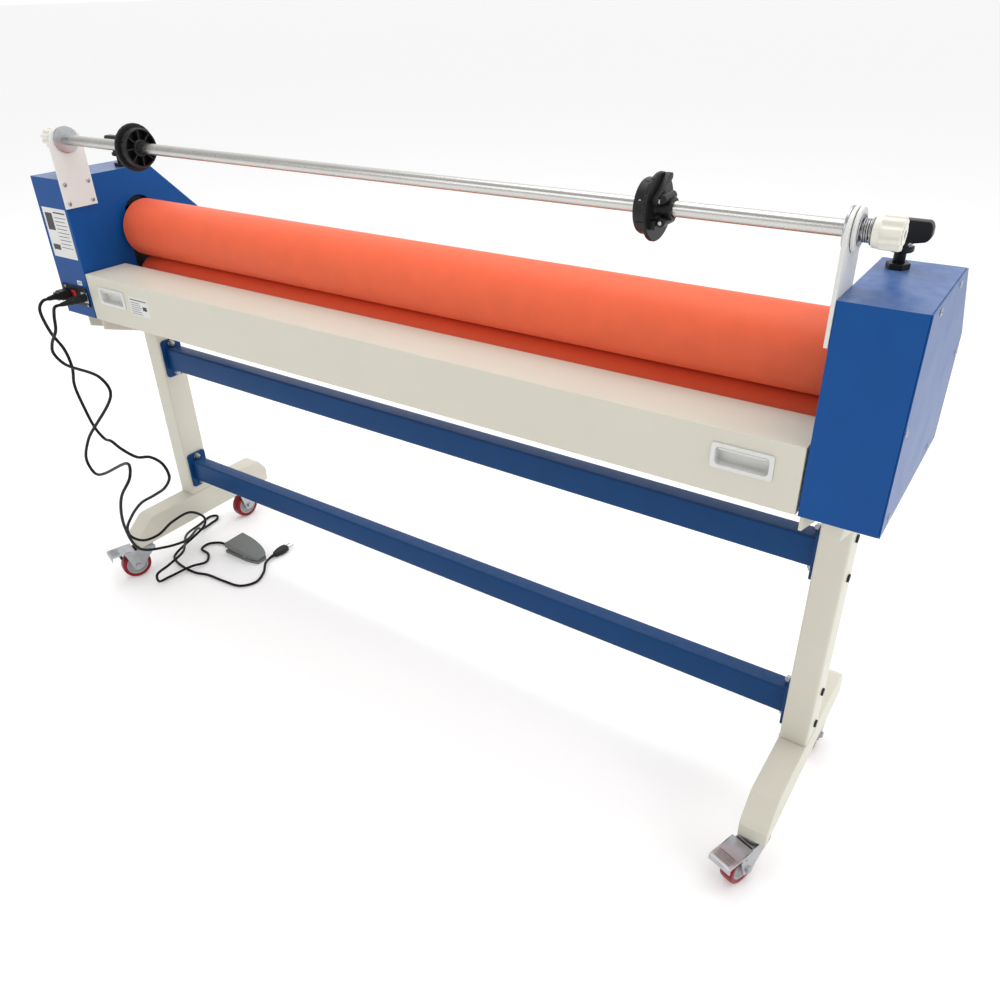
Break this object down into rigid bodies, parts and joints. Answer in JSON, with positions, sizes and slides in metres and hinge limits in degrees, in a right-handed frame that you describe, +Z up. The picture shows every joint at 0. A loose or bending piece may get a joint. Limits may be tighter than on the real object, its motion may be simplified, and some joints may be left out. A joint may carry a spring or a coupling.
{
  "type": "cold roll laminator",
  "caption": "Floor-standing cold roll laminator: two long rollers between blue end boxes, a feed deck, an unwind shaft, a wheeled stand and a foot switch.",
  "frame": {"origin": "on the floor, under the middle of the machine's box without its free cords", "axes": "+X runs along the rollers towards the right end, +Y points away from the operator, +Z is up"},
  "size_m": [1.864, 0.5574, 1.145],
  "materials": {
    "blue_paint": "gloss",
    "cream_paint": "satin",
    "white_paint": "satin",
    "orange_silicone": "satin",
    "polished_steel": "polished",
    "plain_steel": "satin",
    "zinc_plate": "bright",
    "cast_aluminium": "matte",
    "black_plastic": "satin",
    "ivory_plastic": "satin",
    "grey_plastic": "matte",
    "red_plastic": "gloss",
    "red_tread": "satin",
    "black_cord": "satin"
  },
  "bodies": {
    "root": {"housing_left": "blue_paint", "side_cover_left": "blue_paint", "bearing_plate_left": "plain_steel", "pressure_bush_left": "black_plastic", "column_left": "cream_paint", "foot_left": "cream_paint", "unwind_bracket_left": "white_paint", "friction_disc_left": "white_paint", "housing_right": "blue_paint", "side_cover_right": "blue_paint", "bearing_plate_right": "plain_steel", "pressure_bush_right": "black_plastic", "column_right": "cream_paint", "foot_right": "cream_paint", "unwind_bracket_right": "white_paint", "friction_disc_right": "white_paint", "stretcher_upper": "blue_paint", "stretcher_lower": "blue_paint", "drive_motor": "cast_aluminium", "socket_panel": "black_plastic", "mains_connector": "black_plastic", "pedal_connector": "black_plastic", "pedal_base": "grey_plastic", "mains_plug": "black_plastic", "mains_cord": "black_cord", "pedal_cord": "black_cord"},
    "nip_carriage": {"roller_block_left": "cast_aluminium", "roller_block_right": "cast_aluminium"},
    "top_roller": {"top_roller_sleeve": "orange_silicone", "top_roller_shaft": "plain_steel"},
    "bottom_roller": {"bottom_roller_sleeve": "orange_silicone", "bottom_roller_shaft": "plain_steel", "drive_gear": "plain_steel"},
    "pinion": {"motor_pinion": "plain_steel"},
    "deck": {"feed_deck": "cream_paint", "deck_pull_left": "white_paint", "deck_pull_right": "white_paint"},
    "rocker": {"rocker_switch": "red_plastic"},
    "treadle": {"pedal_treadle": "grey_plastic"},
    "unwind_shaft": {"unwind_rod": "polished_steel", "rod_collar_left": "zinc_plate", "rod_collar_right": "zinc_plate"},
    "pressure_knob_left": {"pressure_knob_left": "black_plastic"},
    "pressure_knob_right": {"pressure_knob_right": "black_plastic"},
    "chuck_left": {"core_chuck_left": "black_plastic"},
    "chuck_lever_left": {"chuck_lever_left": "black_plastic"},
    "tension_knob_left": {"tension_knob_left": "ivory_plastic"},
    "chuck_right": {"core_chuck_right": "black_plastic"},
    "chuck_lever_right": {"chuck_lever_right": "black_plastic"},
    "tension_knob_right": {"tension_knob_right": "ivory_plastic"},
    "caster_front_left": {"caster_fork_front_left": "zinc_plate"},
    "wheel_front_left": {"caster_wheel_front_left": "red_tread"},
    "brake_left": {"brake_pedal_left": "zinc_plate"},
    "caster_rear_left": {"caster_fork_rear_left": "zinc_plate"},
    "wheel_rear_left": {"caster_wheel_rear_left": "red_tread"},
    "caster_front_right": {"caster_fork_front_right": "zinc_plate"},
    "wheel_front_right": {"caster_wheel_front_right": "red_tread"},
    "brake_right": {"brake_pedal_right": "zinc_plate"},
    "caster_rear_right": {"caster_fork_rear_right": "zinc_plate"},
    "wheel_rear_right": {"caster_wheel_rear_right": "red_tread"}
  },
  "joints": [
    {"name": "pressure_screw_left", "type": "hinge", "parent": "root", "child": "pressure_knob_left", "pos_m": [-0.85, 0.0335, 1.04], "axis": [0, 0, 1], "range_deg": [-5, 2165]},
    {"name": "pressure_screw_right", "type": "hinge", "parent": "root", "child": "pressure_knob_right", "pos_m": [0.85, 0.0335, 1.04], "axis": [0, 0, 1], "range_deg": [-5, 2165]},
    {"name": "nip_lift", "type": "slide", "parent": "root", "child": "nip_carriage", "axis": [0, 0, 1], "range_m": [0, 0.012]},
    {"name": "top_roller_spin", "type": "hinge", "parent": "nip_carriage", "child": "top_roller", "pos_m": [0, 0.0335, 0.8905], "axis": [1, 0, 0], "continuous": true},
    {"name": "bottom_roller_spin", "type": "hinge", "parent": "root", "child": "bottom_roller", "pos_m": [0, 0.0335, 0.774], "axis": [1, 0, 0], "continuous": true},
    {"name": "motor_pinion_spin", "type": "hinge", "parent": "root", "child": "pinion", "pos_m": [-0.863, 0.0942, 0.774], "axis": [1, 0, 0], "continuous": true},
    {"name": "deck_lift", "type": "slide", "parent": "root", "child": "deck", "axis": [0, 0, 1], "range_m": [0, 0.06]},
    {"name": "power_rocker", "type": "hinge", "parent": "root", "child": "rocker", "pos_m": [-0.881, -0.144, 0.763], "axis": [1, 0, 0], "range_deg": [-16, 0]},
    {"name": "foot_treadle", "type": "hinge", "parent": "root", "child": "treadle", "pos_m": [-0.623, 0.0355, 0.013], "axis": [0, -1, 0], "range_deg": [0, 3], "stiffness_Nm_per_rad": 8, "springref_deg": -2.86},
    {"name": "unwind_spin", "type": "hinge", "parent": "root", "child": "unwind_shaft", "pos_m": [0, -0.108, 1.1], "axis": [1, 0, 0], "continuous": true},
    {"name": "chuck_slide_left", "type": "slide", "parent": "unwind_shaft", "child": "chuck_left", "axis": [1, 0, 0], "range_m": [-0.205, 0.5]},
    {"name": "chuck_lever_turn_left", "type": "hinge", "parent": "chuck_left", "child": "chuck_lever_left", "pos_m": [-0.5808, -0.132, 1.112], "axis": [1, 0, 0], "range_deg": [0, 70]},
    {"name": "tension_turn_left", "type": "hinge", "parent": "unwind_shaft", "child": "tension_knob_left", "pos_m": [-0.858, -0.108, 1.1], "axis": [1, 0, 0], "range_deg": [0, 720]},
    {"name": "chuck_slide_right", "type": "slide", "parent": "unwind_shaft", "child": "chuck_right", "axis": [1, 0, 0], "range_m": [-0.5, 0.215]},
    {"name": "chuck_lever_turn_right", "type": "hinge", "parent": "chuck_right", "child": "chuck_lever_right", "pos_m": [0.5688, -0.132, 1.112], "axis": [1, 0, 0], "range_deg": [0, 70]},
    {"name": "tension_turn_right", "type": "hinge", "parent": "unwind_shaft", "child": "tension_knob_right", "pos_m": [0.858, -0.108, 1.1], "axis": [1, 0, 0], "range_deg": [0, 720]},
    {"name": "swivel_front_left", "type": "hinge", "parent": "root", "child": "caster_front_left", "pos_m": [-0.85, -0.161, 0.085], "axis": [0, 0, 1], "continuous": true},
    {"name": "roll_front_left", "type": "hinge", "parent": "caster_front_left", "child": "wheel_front_left", "pos_m": [-0.86082, -0.19429, 0.0375], "axis": [0.9511, -0.309, 0], "continuous": true},
    {"name": "brake_press_left", "type": "hinge", "parent": "caster_front_left", "child": "brake_left", "pos_m": [-0.86545, -0.20855, 0.077], "axis": [0.9511, -0.309, 0], "range_deg": [0, 12]},
    {"name": "swivel_rear_left", "type": "hinge", "parent": "root", "child": "caster_rear_left", "pos_m": [-0.85, 0.215, 0.085], "axis": [0, 0, 1], "continuous": true},
    {"name": "roll_rear_left", "type": "hinge", "parent": "caster_rear_left", "child": "wheel_rear_left", "pos_m": [-0.85, 0.18, 0.0375], "axis": [1, 0, 0], "continuous": true},
    {"name": "swivel_front_right", "type": "hinge", "parent": "root", "child": "caster_front_right", "pos_m": [0.85, -0.161, 0.085], "axis": [0, 0, 1], "continuous": true},
    {"name": "roll_front_right", "type": "hinge", "parent": "caster_front_right", "child": "wheel_front_right", "pos_m": [0.83918, -0.19429, 0.0375], "axis": [0.9511, -0.309, 0], "continuous": true},
    {"name": "brake_press_right", "type": "hinge", "parent": "caster_front_right", "child": "brake_right", "pos_m": [0.83455, -0.20855, 0.077], "axis": [0.9511, -0.309, 0], "range_deg": [0, 12]},
    {"name": "swivel_rear_right", "type": "hinge", "parent": "root", "child": "caster_rear_right", "pos_m": [0.85, 0.215, 0.085], "axis": [0, 0, 1], "continuous": true},
    {"name": "roll_rear_right", "type": "hinge", "parent": "caster_rear_right", "child": "wheel_rear_right", "pos_m": [0.85, 0.18, 0.0375], "axis": [1, 0, 0], "continuous": true}
  ],
  "couplings": [
    {"joint": "pressure_screw_left", "follows": "nip_lift", "rad_per_m": 3141.6},
    {"joint": "pressure_screw_right", "follows": "nip_lift", "rad_per_m": 3141.6},
    {"joint": "top_roller_spin", "follows": "bottom_roller_spin", "ratio": -0.79688},
    {"joint": "motor_pinion_spin", "follows": "bottom_roller_spin", "ratio": -2}
  ]
}
